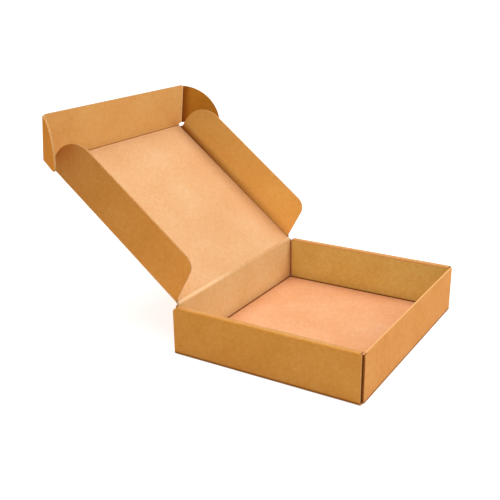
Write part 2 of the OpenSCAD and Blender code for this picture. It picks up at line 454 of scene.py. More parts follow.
def add_crease(sheet, axis_point, along, start, end, ahead, inside, angle, fold_light_and_wear, tints):
    """A crease from start to end along its axis. ahead is the direction of the second panel when
    flat, and angle how far it is bent inwards. fold_light_and_wear holds a function of s and of the
    place along the axis for the inside and for the outside: stretched paleness, a painted highlight
    on the hinge, and painted shade. tints holds the two panels' tints for each."""
    section = crease_section()
    rows = max(2, int((end - start) / CREASE_ROWS) + 1)
    dents = wander(rows, CREASE_DENT)
    turn = ahead.cross(inside)
    points, grain, worn, tint, kinds, faces = [], [], [], [], [], []
    ring = len(section)
    half = ring // 2
    for dent, x in zip(dents, np.linspace(start, end, rows).tolist()):
        for k, (s, t) in enumerate(section):
            side = 0 if k < half else 1
            share = min(1.0, max(0.0, (s + CREASE_HALF) / (2 * CREASE_HALF)))
            share = share * share * (3 - 2 * share)
            depth = t + dent * math.exp(-s ** 2) * (OUTSIDE_DENT if side else 1)
            flat = s * ahead + depth * inside
            points.append(axis_point + x * along + Matrix.Rotation(share * angle, 3, turn) @ flat)
            grain.append((x, s, -LINER_STEP if side else LINER_STEP))
            worn.append(fold_light_and_wear[side](s, x))
            first, second = (look_at(panel, (x, 0, 0)) for panel in tints[side])
            tint.append(tuple(a + (b - a) * share for a, b in zip(first, second)))
    for i in range(rows - 1):
        for k in range(ring):
            a, b = i * ring + k, i * ring + (k + 1) % ring
            faces.append((a, b, b + ring, a + ring))
            kinds.append(CUT_EDGE if k % half == half - 1 else LINER_IN if k < half else LINER_OUT)
    faces += [tuple(range(ring)), tuple(range((rows - 1) * ring, rows * ring))]
    kinds += [CUT_EDGE, CUT_EDGE]
    smooth = [kind != CUT_EDGE for kind in kinds]
    sheet.add(points, faces, kinds, grain, worn, smooth, tint)


def blend_crease(piece, body_a, body_b, axis_point, ahead, inside, angle):
    """Bakes the crease's place into its mesh; the crease is not tied to body_a or body_b."""
    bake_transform(piece)


# %% [markdown]
# ## Colours and shader nodes
#
# A material could be put together by hand in the Shader Editor. Here one small function adds a
# node, and a few more name the kinds that come often, so that a material reads as a list of steps.
# Colours are written as sRGB hex values, and one function turns them to the linear values that
# Blender's shaders take. Pattern scales are worked out from real sizes: a noise of scale 1 has
# features about 1 m across, so a feature of size d metres needs a scale of 1 / d.

# %% Colour and node helpers
def linear(hex_colour):
    """sRGB hex to linear RGBA."""
    parts = [int(hex_colour[i:i + 2], 16) / 255 for i in (1, 3, 5)]
    return [c / 12.92 if c <= 0.04045 else ((c + 0.055) / 1.055) ** 2.4 for c in parts] + [1.0]


def per_mm(size):
    """Noise scale whose features are about size millimetres across."""
    return 1 / (size * MM)


def new_material(name):
    """A material with an empty node tree."""
    material = bpy.data.materials.new(name)
    material.use_nodes = True
    material.node_tree.nodes.clear()
    return material, material.node_tree


def node(tree, kind, settings=(), links=()):
    """Adds a node. settings holds its properties and the values of its inputs, and links what
    its inputs take: a socket, or a node whose first output it is."""
    made = tree.nodes.new(kind)
    for key, value in dict(settings).items():
        if isinstance(key, str) and hasattr(made, key):
            setattr(made, key, value)
        else:
            made.inputs[key].default_value = value
    for key, source in dict(links).items():
        socket = source.outputs[0] if isinstance(source, bpy.types.Node) else source
        tree.links.new(socket, made.inputs[key])
    return made


# %% Nodes that come often
# A Mix node has one set of sockets for each kind of data. These are the ones for colours.
MIX_A, MIX_B, MIX_RESULT = 6, 7, 2


def attribute(tree, name, output="Vector"):
    """What the mesh holds under a name, at the point that is seen."""
    return node(tree, "ShaderNodeAttribute", {"attribute_name": name}).outputs[output]


def maths(tree, operation, *inputs, clamp=False):
    """A Math node. Each input is a number, a socket or a node."""
    numbers = {i: value for i, value in enumerate(inputs) if isinstance(value, float)}
    sources = {i: value for i, value in enumerate(inputs) if i not in numbers}
    return node(tree, "ShaderNodeMath", {"operation": operation, "use_clamp": clamp, **numbers},
                sources)


def remap(tree, value, start, end, low, high, **more):
    """Turns the values from start to end into those from low to high."""
    return node(tree, "ShaderNodeMapRange", {
        "From Min": start, "From Max": end, "To Min": low, "To Max": high, **more}, {"Value": value})


def noise(tree, place, size_mm, detail, roughness):
    """Noise with features about size_mm across."""
    return node(tree, "ShaderNodeTexNoise", {
        "Scale": per_mm(size_mm), "Detail": detail, "Roughness": roughness},
        {"Vector": place}).outputs["Fac"]


def laid_over(tree, hex_colour, share, under):
    """A colour laid over another, as far as share says."""
    return node(tree, "ShaderNodeMix", {"data_type": "RGBA", MIX_B: linear(hex_colour)},
                {0: share, MIX_A: under}).outputs[MIX_RESULT]


# %% [markdown]
# ## Kraft paper
#
# Unbleached kraft is brown because the wood's own colour is left in. Its fibres lie mostly along
# the machine direction, which crosses the flutes. Up close it shows pale and dark fibres, soft
# clouds where the pulp lay thicker, specks of bark, and the flutes printing through as faint ribs.
# A scan of real paper could be laid on, but its pattern would repeat and its scale would be fixed.
# Noise at a few real sizes, read from the flat board, never repeats and runs on over the folds.

# %% Patterns in the paper
CLOUD_MM = 60.0
PULP_MM = 6.0
FLECK_MM = 1.5
# Real fibres are about 0.03 mm by 3 mm. They are drawn coarser, so that they show at this distance.
FIBRE_LONG_MM = 6.0
FIBRE_WIDE_MM = 0.8
FIBRE_DEEP_MM = 8.0
# Nearly all values of a noise lie between these two.
NOISE_SPAN = (0.3, 0.7)


def fibre_noise(tree, grain):
    """Noise that is drawn out along u."""
    sizes = (FIBRE_LONG_MM, FIBRE_WIDE_MM, FIBRE_DEEP_MM)
    stretched = node(tree, "ShaderNodeMapping", {"Scale": [per_mm(size) for size in sizes]},
                     {"Vector": grain})
    return node(tree, "ShaderNodeTexNoise", {
        "Scale": 1.0, "Detail": 4.0, "Roughness": 0.6, "Distortion": 0.5}, {"Vector": stretched})


def flute_ribs(tree, grain, clouds):
    """A cosine across the flutes, which prints through more in some places than in others."""
    across = node(tree, "ShaderNodeSeparateXYZ", links={"Vector": grain})
    turns = maths(tree, "MULTIPLY", across, 2 * math.pi / (FLUTE_PITCH * MM))
    patches = remap(tree, clouds, 0.48, 0.60, 0.1, 1.0)
    return maths(tree, "MULTIPLY", maths(tree, "COSINE", turns), patches)


def paper_colour(tree, patterns, dark, base, pale):
    """A colour ramp. Each pattern moves the tone by its amount to either side of the middle."""
    tone = 0.5
    for pattern, span, amount in patterns:
        tone = maths(tree, "ADD", tone, remap(tree, pattern, *span, -amount, amount, clamp=False))
    colours = node(tree, "ShaderNodeValToRGB", links={"Fac": tone})
    ramp = colours.color_ramp
    for element, colour in zip(ramp.elements, (dark, pale)):
        element.color = linear(colour)
    ramp.elements.new(0.5).color = linear(base)
    return colours


# %% [markdown]
# ## Painted shade and crushed paper beside the folds
#
# Beside a fold the paper is crushed, and little light comes into the corner. The light alone makes
# a corner darker, but not as dark and brown as in the photograph, so the shade is painted on.
# Painting it by hand would have to be done again for every panel. Each panel already holds the
# distances to its folds, so the material takes the shortest of them and darkens a narrow rim, of
# crushed board and painted shade, and a wide soft strip of painted shade.

# %% Darkness beside a fold
RIM_MM = 2.8
SHADE_MM = 16.0


def fold_darkness(tree, worn, rim_depth):
    """The greatest of three: a rim of crushed board and painted shade, the painted shade of folds and
    creases below 0, and the wide painted shade in a corner.
    """
    nearest = None
    for side in ("rim_low", "rim_high"):
        apart = node(tree, "ShaderNodeSeparateXYZ", links={"Vector": attribute(tree, side)})
        for distance in (apart.outputs["X"], apart.outputs["Y"]):
            nearest = distance if nearest is None else maths(tree, "MINIMUM", nearest, distance)
    crushed_and_shaded = remap(tree, nearest, 0.0, RIM_MM * MM, rim_depth, 0.0, interpolation_type="SMOOTHSTEP")
    near = remap(tree, nearest, 0.0, SHADE_MM * MM, 1.0, 0.0, interpolation_type="SMOOTHSTEP")
    shaded = maths(tree, "MULTIPLY", near, attribute(tree, "shade", "Fac"))
    painted_fold_shade = maths(tree, "MULTIPLY", worn, -1.0)
    return maths(tree, "MAXIMUM", maths(tree, "MAXIMUM", crushed_and_shaded, painted_fold_shade), shaded, clamp=True)


# %% Kraft liner
RIB_HEIGHT_MM = 0.03
# How much of the bump comes from the fibres, next to the ribs
FIBRE_BUMP = 0.9


def kraft_liner(name, base, dark, pale, stretched_and_highlight_pale, crushed_and_shade_dark, rim_depth):
    """Kraft liner of the board: matt brown paper with fibres, clouds and faint ribs."""
    material, tree = new_material(name)
    grain = attribute(tree, "grain")
    worn = attribute(tree, "worn", "Fac")
    clouds = noise(tree, grain, CLOUD_MM, 2.0, 0.5)
    pulp = noise(tree, grain, PULP_MM, 5.0, 0.65)
    flecks = noise(tree, grain, FLECK_MM, 1.0, 0.4)
    fibres = fibre_noise(tree, grain)
    ribs = flute_ribs(tree, grain, clouds)
    # Each pattern, the values between which it lies, and how far it moves the tone
    colour = paper_colour(tree, ((clouds, NOISE_SPAN, 0.08), (pulp, NOISE_SPAN, 0.09),
                                 (fibres, NOISE_SPAN, 0.14), (ribs, (-1.0, 1.0), 0.035)),
                          dark, base, pale)

    # Specks of bark, the panel's tint, which also paints its light and shade, paper stretched pale
    # with a painted highlight in places, then paper that is dark beside a fold: crushed board and
    # painted shade
    colour = laid_over(tree, dark, remap(tree, flecks, 0.66, 0.72, 0.0, 0.3), colour)
    colour = node(tree, "ShaderNodeVectorMath", {"operation": "MULTIPLY"},
                  {0: colour, 1: attribute(tree, "tint")})
    patchy = remap(tree, pulp, *NOISE_SPAN, 0.6, 1.0)
    stretched = maths(tree, "MULTIPLY", worn, patchy, clamp=True)
    colour = laid_over(tree, stretched_and_highlight_pale, stretched, colour)
    colour = laid_over(tree, crushed_and_shade_dark, fold_darkness(tree, worn, rim_depth), colour)

    height = maths(tree, "MULTIPLY_ADD", fibres, FIBRE_BUMP, ribs)
    relief = node(tree, "ShaderNodeBump", {"Strength": 1.0, "Distance": RIB_HEIGHT_MM * MM},
                  {"Height": height})
    roughness = remap(tree, pulp, *NOISE_SPAN, 0.8, 0.95)
    surface = node(tree, "ShaderNodeBsdfPrincipled", {"IOR": 1.45, "Specular IOR Level": 0.15},
                   {"Base Color": colour, "Roughness": roughness, "Normal": relief})
    node(tree, "ShaderNodeOutputMaterial", links={"Surface": surface})
    return material


# %% [markdown]
# ## Fluting paper and cut edges
#
# The medium is recycled paper, darker than the liners. The die crushes the edge that it cuts: fibre
# ends stand out there, and it looks paler than the faces. Both could share the liner's material,
# but bare paper has no smooth face, no ribs and no wear. So it has a simpler one: a mottled tone
# from a fine noise, which also roughens the surface.

# %% The five finishes
def raw_paper(name, dark, pale, grain_mm, bump_mm):
    """Bare paper with no finished face: mottled, rough and quite matt."""
    material, tree = new_material(name)
    pulp = noise(tree, attribute(tree, "grain"), grain_mm, 4.0, 0.65)
    colours = node(tree, "ShaderNodeValToRGB", links={"Fac": pulp})
    for element, position, colour in zip(colours.color_ramp.elements, NOISE_SPAN, (dark, pale)):
        element.position, element.color = position, linear(colour)
    relief = node(tree, "ShaderNodeBump", {"Strength": 1.0, "Distance": bump_mm * MM},
                  {"Height": pulp})
    surface = node(tree, "ShaderNodeBsdfPrincipled", {
        "Roughness": 0.95, "IOR": 1.45, "Specular IOR Level": 0.1},
        {"Base Color": colours, "Normal": relief})
    node(tree, "ShaderNodeOutputMaterial", links={"Surface": surface})
    return material


# The dark brown of crushed board, also laid on as painted shade in corners, slots and along the
# walls' feet
CRUSHED_AND_SHADE_DARK = "#854404"
board_finishes = [
    # The outside of the box, an orange brown
    kraft_liner("kraft_liner_outside", base="#E69A3F", dark="#C27926", pale="#F4BC66",
                stretched_and_highlight_pale="#F2B878", crushed_and_shade_dark=CRUSHED_AND_SHADE_DARK, rim_depth=0.9),
    # The inside, paler and pinker, partly the liner's own colour and partly painted light, which
    # makes the open lid and the floor the brightest panels
    kraft_liner("kraft_liner_inside", base="#EEB57E", dark="#D79455", pale="#F8D8AE",
                stretched_and_highlight_pale="#FFD9A8", crushed_and_shade_dark=CRUSHED_AND_SHADE_DARK, rim_depth=1.0),
    # The waves, seen as dark arches between two pale lines
    raw_paper("fluting_paper", dark="#8A5218", pale="#B97A30", grain_mm=1.2, bump_mm=0.05),
    # Ends and hidden sides of the folds and creases, a little duller
    raw_paper("cut_edge", dark="#AC7234", pale="#DCA05E", grain_mm=0.6, bump_mm=0.08),
    # The edge that the die cut, a light line round each panel
    raw_paper("cut_edge_pale", dark="#E8AA60", pale="#FFD49A", grain_mm=0.6, bump_mm=0.08),
]
print("materials:", [finish.name for finish in board_finishes])

# %% [markdown]
# ## The tray's floor
#
# The folded tray is one piece, so all of its panels go into one sheet. Their tints are matched to
# the photograph, where each panel of the same paper is a slightly different brown, much of it from
# how the light falls, so the tints are partly painted light and shade. The floor is a rectangle with
# a slot for each locking tab of the side walls. A Boolean modifier could cut the slots, but they are
# only holes in a flat outline, which the triangle filling takes as extra loops.

# %% Looks of the tray's panels
# Each tint is a factor on the liner's own red, green and blue. It also paints the light and shade of
# each panel, such as the paler top of the rolled walls.
TINT_FLOOR = (1.03, 0.96, 1.04)
TINT_END_WALL_IN = (0.98, 1.22, 1.24)
TINT_FRONT_WALL_OUT = (1.05, 1.11, 1.91)
TINT_BACK_WALL_OUT = (1.01, 1.04, 1.30)
TINT_SIDE_WALL = (1.01, 1.04, 1.17)
TINT_INNER_PANEL = (1.00, 1.76, 3.27)
TINT_ROLL = (0.93, 1.10, 2.30)

# %% Floor
TAB_COUNT = 2
TAB_W = 34.0
TAB_PITCH = 2 * ROLL_HALF / TAB_COUNT
TAB_MIDDLES = [(i - (TAB_COUNT - 1) / 2) * TAB_PITCH for i in range(TAB_COUNT)]
tray = Sheet(seed=0)


def rectangle(u0, v0, u1, v1):
    """Outline of a rectangle."""
    return [(u0, v0), (u1, v0), (u1, v1), (u0, v1)]


def add_floor(sheet):
    """Floor with the slots for the tabs."""
    place = Place((0, 0, BOARD / 2), Y, X, Z)
    slots = []
    reach = TAB_W / 2 + SLIDE_GAP
    for side in (-1, 1):
        for y in TAB_MIDDLES:
            xs = sorted((side * (INSIDE_HALF - SLIDE_GAP), side * (ROLL_IN + SLIDE_GAP)))
            slots.append(rectangle(y - reach, xs[0], y + reach, xs[1]))
    middle = INSIDE_HALF - SLIDE_GAP
    # A dark rim and a light painted shade along the walls and the inner panels of the rolled walls.
    add_board(sheet, place, rectangle(-WALL_IN, -FLOOR_HALF, WALL_IN, FLOOR_HALF), slots,
              medium=rectangle(-WALL_IN, -middle, WALL_IN, middle),
              inside=dict(tint=TINT_FLOOR, shade=0.1,
                          rim=(-WALL_IN, -INSIDE_HALF, WALL_IN, INSIDE_HALF)))


add_floor(tray)
print("floor %.0f x %.0f mm with %d slots" % (2 * FLOOR_HALF, 2 * WALL_IN, 2 * TAB_COUNT))

# %% [markdown]
# ## Front and back walls
#
# These walls are single board, folded up from the floor. At each end an ear is folded back into the
# side wall, which traps it and so holds the corner square. The ears could be left out, but each
# corner shows how the wall turns into its ear. So a wall is one panel, with a quarter round at its
# foot and at both ends. The back wall ends lower, below the hinge's crease.

# %% Front and back walls, with the ears at their ends
WALL_TURN = WALL_HALF - BOARD
WALL_EAR_LEN = 78.0
WALL_EAR_CUT = 10.0
# The wall is painted darker, a painted shade, where it goes on behind the rolled wall.
GAP_END = INSIDE_HALF + 2
# The hinge is creased over the whole width between the side flaps.
HINGE_HALF = SIDE_FOLD_X + 0.7


def add_end_wall(sheet, side, hinged):
    """Wall at the front (side -1) or back (side 1). A hinged one ends below its crease."""
    tint_out = TINT_BACK_WALL_OUT if hinged else TINT_FRONT_WALL_OUT
    place = Place((0, side * (WALL_IN + BOARD / 2), 0), Z, X, -side * Y)
    outline = rectangle(BOARD, -WALL_TURN, TRAY_H, WALL_TURN)
    if hinged:
        neck = hinge.z - CREASE_REACH
        outline = [(BOARD, -WALL_TURN), (TRAY_H, -WALL_TURN), (TRAY_H, -HINGE_HALF),
                   (neck, -HINGE_HALF), (neck, HINGE_HALF), (TRAY_H, HINGE_HALF),
                   (TRAY_H, WALL_TURN), (BOARD, WALL_TURN)]
    # Inside, a painted shade along the foot and where the wall goes on behind the rolled walls;
    # outside, a dark rim along the foot, a painted shade where it meets the floor.
    add_board(sheet, place, outline,
              inside=dict(tint=TINT_END_WALL_IN, shade=0.2, rim=(BOARD, -GAP_END, FAR, GAP_END)),
              outside=dict(tint=tint_out, rim=(BOARD, -FAR, FAR, FAR)))
    foot = Vector((-WALL_TURN, side * WALL_IN, BOARD))
    # The round at the foot is painted dark, a painted shade along the floor.
    add_fold(sheet, foot, X, 2 * WALL_TURN, -Z, side * Y, fold_light_and_wear=-1.0, tint=tint_out)


def slot_highlight_and_shade(way):
    """Pale where the liner starts to turn, stretched liner and a painted highlight, then a painted
    shade on the way into the corner slot.
    """
    return 1.2 - 3.0 * way


def add_wall_ear(sheet, side, end):
    """Ear at the end (-1 left, 1 right) of a front or back wall, lying inside the side wall."""
    high = ROLL_H - SLIDE_GAP
    tip = HALF_W - WALL_EAR_LEN
    place = Place((end * (WALL_TURN + BOARD / 2), 0, 0), Z, side * Y, -end * X)
    # The ear's outside is painted dark towards its fold, a painted shade inside the corner slot.
    add_board(sheet, place, [(LOW, WALL_IN), (high, WALL_IN), (high, tip + WALL_EAR_CUT),
                             (high - WALL_EAR_CUT, tip), (LOW + WALL_EAR_CUT, tip),
                             (LOW, tip + WALL_EAR_CUT)],
              outside=dict(shade=1.0, rim=(-FAR, -FAR, FAR, WALL_IN)))
    foot = Vector((end * WALL_TURN, side * WALL_IN, LOW))
    add_fold(sheet, foot, Z, high - LOW, side * Y, end * X, fold_light_and_wear=slot_highlight_and_shade,
             tint=TINT_BACK_WALL_OUT if side > 0 else TINT_FRONT_WALL_OUT)


for side in (-1, 1):
    add_end_wall(tray, side, hinged=side > 0)
    for end in (-1, 1):
        add_wall_ear(tray, side, end)
print("walls %.1f mm wide between their ears' folds" % (2 * WALL_TURN))

# %% [markdown]
# ## The rolled side walls
#
# Each side wall comes up, goes over the top in a narrow strip and comes down again inside, where its
# tabs lock into the slots in the floor. One thick block would look the same from far away, but the
# ends of the roll stand open, and there one sees the layers and the gaps between them. So we draw
# three panels, with a quarter round at each fold between them.

# %% Rolled side walls
SLOT_SET_BACK = 3.0
WALL_CORNER_R = 5.0
WALL_END_H = TRAY_H - BOARD / 2


def arc(centre, radius, start, end, steps=14):
    """Points along an arc, angles in degrees from the u axis towards v."""
    angles = np.radians(np.linspace(start, end, steps + 1))
    return [(centre[0] + radius * math.cos(a), centre[1] + radius * math.sin(a)) for a in angles]


def add_outer_panel(sheet, end):
    """Outer panel, standing past both ends of the rolled strip."""
    front, back = SLOT_SET_BACK - HALF_W, HALF_W
    place = Place((end * (FLOOR_HALF + BOARD / 2), 0, 0), Y, Z, -end * X)
    round_middle = (back - WALL_CORNER_R, WALL_END_H - WALL_CORNER_R)
    # A dark rim along the foot of the outside, a painted shade where the wall meets the floor.
    add_board(sheet, place, [(front, BOARD), (back, BOARD),
                             *arc(round_middle, WALL_CORNER_R, 0, 90, 8),
                             (ROLL_HALF, ROLL_H), (-ROLL_HALF, ROLL_H),
                             (-ROLL_HALF, WALL_END_H), (front, WALL_END_H)],
              outside=dict(tint=TINT_SIDE_WALL, rim=(-FAR, BOARD, FAR, FAR)))
    # The round at the foot is painted dark, a painted shade along the floor.
    add_fold(sheet, Vector((end * FLOOR_HALF, front, BOARD)), Y, back - front, -Z, end * X,
             fold_light_and_wear=-1.0, tint=TINT_SIDE_WALL)


def add_roll(sheet, end):
    """Strip over the top of the wall, with its two folds."""
    place = Place((0, 0, ROLL_H + BOARD / 2), Y, end * X, -Z)
    add_board(sheet, place, rectangle(-ROLL_HALF, ROLL_IN, ROLL_HALF, FLOOR_HALF),
              outside=dict(tint=TINT_ROLL))
    for x, start, tint in ((FLOOR_HALF, end * X, TINT_SIDE_WALL), (ROLL_IN, -end * X, TINT_ROLL)):
        add_fold(sheet, Vector((end * x, -ROLL_HALF, ROLL_H)), Y, 2 * ROLL_HALF, start, Z,
                 fold_light_and_wear=0.0, tint=tint)


def add_inner_panel(sheet, end):
    """Inner panel, down to the floor, with its locking tabs."""
    place = Place((end * (INSIDE_HALF + BOARD / 2), 0, 0), Y, Z, end * X)
    outline = [(-ROLL_HALF, ROLL_H), (-ROLL_HALF, LOW)]
    for y in TAB_MIDDLES:
        left, right = y - TAB_W / 2, y + TAB_W / 2
        outline += [(left, LOW), (left, BOARD / 2), (left + BOARD / 2, SLIDE_GAP),
                    (right - BOARD / 2, SLIDE_GAP), (right, BOARD / 2), (right, LOW)]
    outline += [(ROLL_HALF, LOW), (ROLL_HALF, ROLL_H)]
    # A dark rim and a painted shade along its foot, where it stands on the floor.
    add_board(sheet, place, outline,
              outside=dict(tint=TINT_INNER_PANEL, shade=0.15, rim=(-FAR, LOW, FAR, FAR)))


for end in (-1, 1):
    add_outer_panel(tray, end)
    add_roll(tray, end)
    add_inner_panel(tray, end)

tray_piece = tray.make("tray_board")
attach(tray_piece, "tray")
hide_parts("tray")

# %% [markdown]
# ## The lid panel
#
# The lid is one flat panel. It could be one mesh with its flaps, but they have joints of their own,
# so each flap is a piece that rides its own body. The panel stops short of every fold, where a
# crease takes over, while the dark rim, a painted shade in the corners of the folds, is measured from
# the fold itself.

# %% Looks of the lid and its flaps
# These tints also paint light and shade: the front flap's and the ears' insides are painted darker,
# as shade.
TINT_LID_IN = (0.96, 0.99, 1.02)
TINT_LID_OUT = (1.01, 1.04, 1.30)
TINT_SIDE_FLAP = ((1.08, 1.19, 0.72), (1.07, 1.05, 1.24))
TINT_FRONT_FLAP = ((0.93, 0.90, 0.61), (1.01, 1.04, 1.30))
TINT_LOCK_EAR = ((0.65, 0.50, 0.11), (1.02, 0.87, 0.48))


def between(start, end, length):
    """A value that changes evenly along u, from start at 0 to end at length."""
    return lambda g: start + (end - start) * g[0] / length


def fading(tint, start, end, length):
    """A tint times such a value."""
    return lambda g: tuple(c * between(start, end, length)(g) for c in tint)


# The side flaps are painted darker towards the front fold, a painted shade where the ears shade them.
side_flap_tints = (fading(TINT_SIDE_FLAP[0], 1.12, 0.74, LID_D),
                   fading(TINT_SIDE_FLAP[1], 1.09, 0.74, LID_D))
side_flap_shade = between(0.2, 1.0, LID_D)
LOCK_EAR_SHADE = 0.9

# %% Lid panel
lid = Sheet(seed=1)
side_edge = SIDE_FOLD_X - CREASE_REACH
lid_rim = (-FAR, -SIDE_FOLD_X, LID_D, SIDE_FOLD_X)
add_board(lid, Place(hinge, lid_dir, X, lid_in),
          rectangle(CREASE_REACH, -side_edge, LID_D - CREASE_REACH, side_edge),
          inside=dict(tint=TINT_LID_IN, shade=0.08, rim=lid_rim), outside=dict(tint=TINT_LID_OUT))
lid_piece = lid.make("lid_board")
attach(lid_piece, "lid")
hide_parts("lid_panel")

# %% [markdown]
# ## The side flaps
#
# When the box is shut, these flaps slide down inside the rolled walls and keep dust out. They have a
# big round at the front, so that they clear the lock ears, and a slanted back end with a smaller
# round. The rounds could be drawn as curves and converted, but the outline is a list of points
# anyway, so two arcs are put into it. Both flaps share one outline, mirrored by their directions.

# %% Side flaps
SIDE_CLEAR = 1.8
SIDE_D = hinge.z - BOARD - SIDE_CLEAR
SIDE_FRONT_R = 39.0
SIDE_BACK_R = 17.0
SIDE_SLANT = math.radians(9)
SIDE_BACK_GAP = 4.0
SIDE_FRONT_GAP = 6.0


def side_flap_outline():
    """u from the hinge towards the front, v from the fold to the free edge."""
    front = LID_D - SIDE_FRONT_GAP
    lift = SIDE_D - SIDE_BACK_R
    back_u = SIDE_BACK_GAP + (SIDE_BACK_R + lift * math.sin(SIDE_SLANT)) / math.cos(SIDE_SLANT)
    start = SIDE_BACK_GAP + CREASE_REACH * math.tan(SIDE_SLANT)
    slant = math.degrees(SIDE_SLANT)
    return ([(start, CREASE_REACH)] + arc((back_u, lift), SIDE_BACK_R, 180 - slant, 90)
            + arc((front - SIDE_FRONT_R, SIDE_D - SIDE_FRONT_R), SIDE_FRONT_R, 90, 0, steps=24)
            + [(front, CREASE_REACH)])


for end, side_name in ((-1, "left"), (1, "right")):
    flap = Sheet(seed=3 + end)
    fold = Vector((end * SIDE_FOLD_X, hinge.y, hinge.z))
    add_board(flap, Place(fold, lid_dir, lid_in, -end * X), side_flap_outline(),
              inside=dict(tint=side_flap_tints[0], shade=side_flap_shade, rim=(-FAR, 0, FAR, FAR)),
              outside=dict(tint=side_flap_tints[1]))
    piece = flap.make("side_flap_%s_board" % side_name)
    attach(piece, "side_flap_" + side_name)
    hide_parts("side_flap_" + side_name)

# %% [markdown]
# ## The front flap
#
# The front flap comes down outside the front wall and shuts the box. It could be a plain rectangle,
# but its corners are cut back at the fold and a little at the free edge, and that shows against the
# white. So half of the outline is written down, and the other half is its mirror.

# %% Front flap
FRONT_CLEAR = 1.8
FRONT_D = hinge.z - FRONT_CLEAR
EAR_SET_BACK = 1.5
EAR_R = FRONT_D - EAR_SET_BACK
EAR_GAP = 0.5
EAR_CUT = hinge.z - ROLL_H + EAR_GAP


def front_flap_outline():
    """u from the fold to the free edge, v along the fold."""
    end = LOCK_X - CREASE_REACH
    shoulder = LID_HALF + (end - LID_HALF) * (CREASE_REACH - BOARD / 2) / (EAR_CUT - BOARD / 2)
    right = [(CREASE_REACH, shoulder), (EAR_CUT, end), (EAR_R, end), (FRONT_D, end - EAR_SET_BACK)]
    return [(u, -v) for u, v in right] + right[::-1]


front = Sheet(seed=5)
add_board(front, Place(front_fold, flap_dir, X, flap_in), front_flap_outline(),
          inside=dict(tint=TINT_FRONT_FLAP[0], shade=0.1, rim=(0, -FAR, FAR, FAR)),
          outside=dict(tint=TINT_FRONT_FLAP[1]))
front_piece = front.make("front_flap_board")
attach(front_piece, "front_flap")
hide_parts("front_flap")

# %% [markdown]
# ## The lock ears
#
# The ears are quarter rounds about the end of the front fold. As the flap goes down they swing into
# the slots at the tray's front corners and keep the lid from springing open. A quarter of a disc
# would do from far away, but the real ear starts below the cut corner of the flap and has a small
# round there, so the outline joins a small arc and a large one where they touch.

# %% Lock ears
EAR_CORNER_R = 9.0


def ear_outline():
    """u along the ear's fold from the lid, v away from the fold."""
    corner_u = EAR_CUT + EAR_CORNER_R
    corner_v = math.sqrt((EAR_R - EAR_CORNER_R) ** 2 - corner_u ** 2)
    meet = math.degrees(math.atan2(corner_v, corner_u))
    tip = math.degrees(math.acos(CREASE_REACH / EAR_R))
    return ([(EAR_CUT, CREASE_REACH)] + arc((corner_u, corner_v), EAR_CORNER_R, 180, meet, steps=8)
            + arc((0, 0), EAR_R, meet, 90 - tip, steps=20)[1:])


def ear_directions(end):
    """Direction away from an ear's fold, and its inside, with the ear leaning out."""
    away = math.cos(EAR_LEAN) * flap_in + math.sin(EAR_LEAN) * end * X
    inside = math.sin(EAR_LEAN) * flap_in - math.cos(EAR_LEAN) * end * X
    return away, inside


for end, side_name in ((-1, "left"), (1, "right")):
    ear = Sheet(seed=8 + end)
    away, inside = ear_directions(end)
    fold = front_fold + end * LOCK_X * X
    add_board(ear, Place(fold, flap_dir, away, inside), ear_outline(),
              inside=dict(tint=TINT_LOCK_EAR[0], shade=LOCK_EAR_SHADE, rim=(-FAR, 0, FAR, FAR)),
              outside=dict(tint=TINT_LOCK_EAR[1]))
    piece = ear.make("lock_ear_%s_board" % side_name)
    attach(piece, "lock_ear_" + side_name)
    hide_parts("lock_ear_" + side_name)

# %% [markdown]
# ## The creases that turn
#
# There are six: the hinge, the two side folds, the front fold and the folds of the two ears. At rest
# the lid is bent back past flat, so its hinge has a negative angle, while the flaps are bent inwards.
# The wear and painted light of a crease could be painted on, but they follow simple rules, so small
# functions give them: a band that fades to both sides, a dark corner of painted shade with a pale
# strip before it, and for the hinge a pale stretch, with a painted highlight, that is strongest at
# the left end, as in the photograph.

# %% Wear of the creases
# How pale the hinge is along its length: stretched liner and a painted highlight
HINGE_PLACES = (-HINGE_HALF, -60.0, -15.0, HINGE_HALF - 30, HINGE_HALF)
HINGE_PALE = (1.4, 1.3, 0.05, 0.05, 0.8)
# Where a crease's painted shade is darkest and where it is palest, in mm across it from its axis
CORNER_DARK = 0.6
CORNER_PALE = -1.7


def band(amount, middle=0.0, width=1.1):
    """Wear and painted light that fade to both sides of a line in the crease: paler above 0, and
    below 0 a darker painted shade.
    """
    return lambda s, x: amount * math.exp(-((s - middle) / width) ** 2)


def stretched_and_highlit_hinge(s, x):
    """The hinge is stretched pale, and painted paler still as a highlight, over the left third of its
    length and at the right end.
    """
    return band(float(np.interp(x, HINGE_PLACES, HINGE_PALE)), middle=0.2, width=2.3)(s, x)


def corner(depth, pale, shade):
    """A painted shade, dark in the corner and on to the second panel's painted shade, with a pale
    strip before it.
    """
    def fold_light_and_wear(s, x):
        past = min(1.0, max(0.0, (s + CORNER_DARK) / (2 * CORNER_DARK)))
        dark = max(band(depth, CORNER_DARK)(s, x), 0.95 * look_at(shade, (x, 0, 0)))
        return (1 - past) * band(pale, CORNER_PALE, width=0.9)(s, x) - dark * past
    return fold_light_and_wear


# %% The six creases
LID_OPEN = math.atan2(lid_dir.y, lid_dir.z)
FLAP_BENT = math.acos(lid_dir.dot(flap_dir))
FRONT_CREASE_HALF = LID_HALF + 1
# The side creases end short of the front wall, which they meet when the lid is shut.
SIDE_CREASE_ENDS = (2.8, LID_D - 3.6)


def make_crease(name, bodies, axis_point, along, start, end, ahead, inside, angle, fold_light_and_wear, tints, seed):
    """One crease, from start to end along the axis through axis_point."""
    sheet = Sheet(seed)
    add_crease(sheet, axis_point, along, start, end, ahead, inside, angle, fold_light_and_wear, tints)
    piece = sheet.make(name)
    blend_crease(piece, *bodies, axis_point, ahead, inside, angle)


